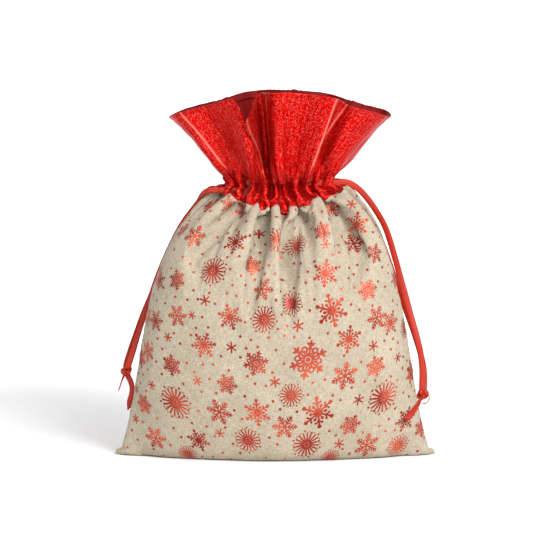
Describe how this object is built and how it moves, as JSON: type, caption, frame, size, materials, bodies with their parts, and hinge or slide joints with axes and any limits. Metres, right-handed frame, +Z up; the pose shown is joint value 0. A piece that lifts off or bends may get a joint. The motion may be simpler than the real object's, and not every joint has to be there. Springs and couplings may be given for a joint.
{
  "type": "fabric gift sack",
  "caption": "Printed cloth gift sack standing filled out, neck gathered on two drawstring ribbons that leave at its sides, shiny collar flared above.",
  "frame": {"origin": "on the floor, under the middle of the base", "axes": "+Z up, -Y towards the front of the sack, +X to the right of a person who faces its front"},
  "size_m": [0.2568, 0.098, 0.2905],
  "materials": {
    "linen": "matte linen-look plain weave with a red metallic snowflake print",
    "lame": "glittering metallic red cloth",
    "satin": "satin ribbon",
    "linen_thread": "matte sewing thread",
    "red_thread": "matte sewing thread"
  },
  "bodies": {
    "sack": {"front_panel": "linen", "back_panel": "linen", "collar_front": "lame", "collar_back": "lame", "tunnel_tape_front": "linen", "tunnel_tape_back": "linen", "join_seam_front": "linen_thread", "join_seam_back": "linen_thread", "side_seam_left": "linen_thread", "side_seam_right": "linen_thread", "bottom_seam": "linen_thread", "hem_stitching": "red_thread", "tunnel_stitching_upper": "red_thread", "tunnel_stitching_lower": "linen_thread"},
    "left_drawstring": {"left_ribbon_run": "satin"},
    "left_ribbon_free": {"left_strand_front": "satin", "left_strand_back": "satin", "left_tail_long": "satin", "left_tail_short": "satin", "left_knot": "satin"},
    "right_drawstring": {"right_ribbon_run": "satin"},
    "right_ribbon_free": {"right_strand_front": "satin", "right_strand_back": "satin", "right_tail_long": "satin", "right_tail_short": "satin", "right_knot": "satin"}
  },
  "joints": [
    {"name": "left_pull", "type": "slide", "parent": "sack", "child": "left_drawstring", "axis": [-1, 0, 0], "range_m": [0, 0.04], "deforming": ["left_ribbon_run"]},
    {"name": "left_swing", "type": "hinge", "parent": "left_drawstring", "child": "left_ribbon_free", "pos_m": [-0.05, 0, 0.215], "axis": [0, 1, 0], "range_deg": [0, 70]},
    {"name": "right_pull", "type": "slide", "parent": "sack", "child": "right_drawstring", "axis": [1, 0, 0], "range_m": [0, 0.04], "deforming": ["right_ribbon_run"]},
    {"name": "right_swing", "type": "hinge", "parent": "right_drawstring", "child": "right_ribbon_free", "pos_m": [0.05, 0, 0.221], "axis": [0, -1, 0], "range_deg": [0, 70]}
  ]
}
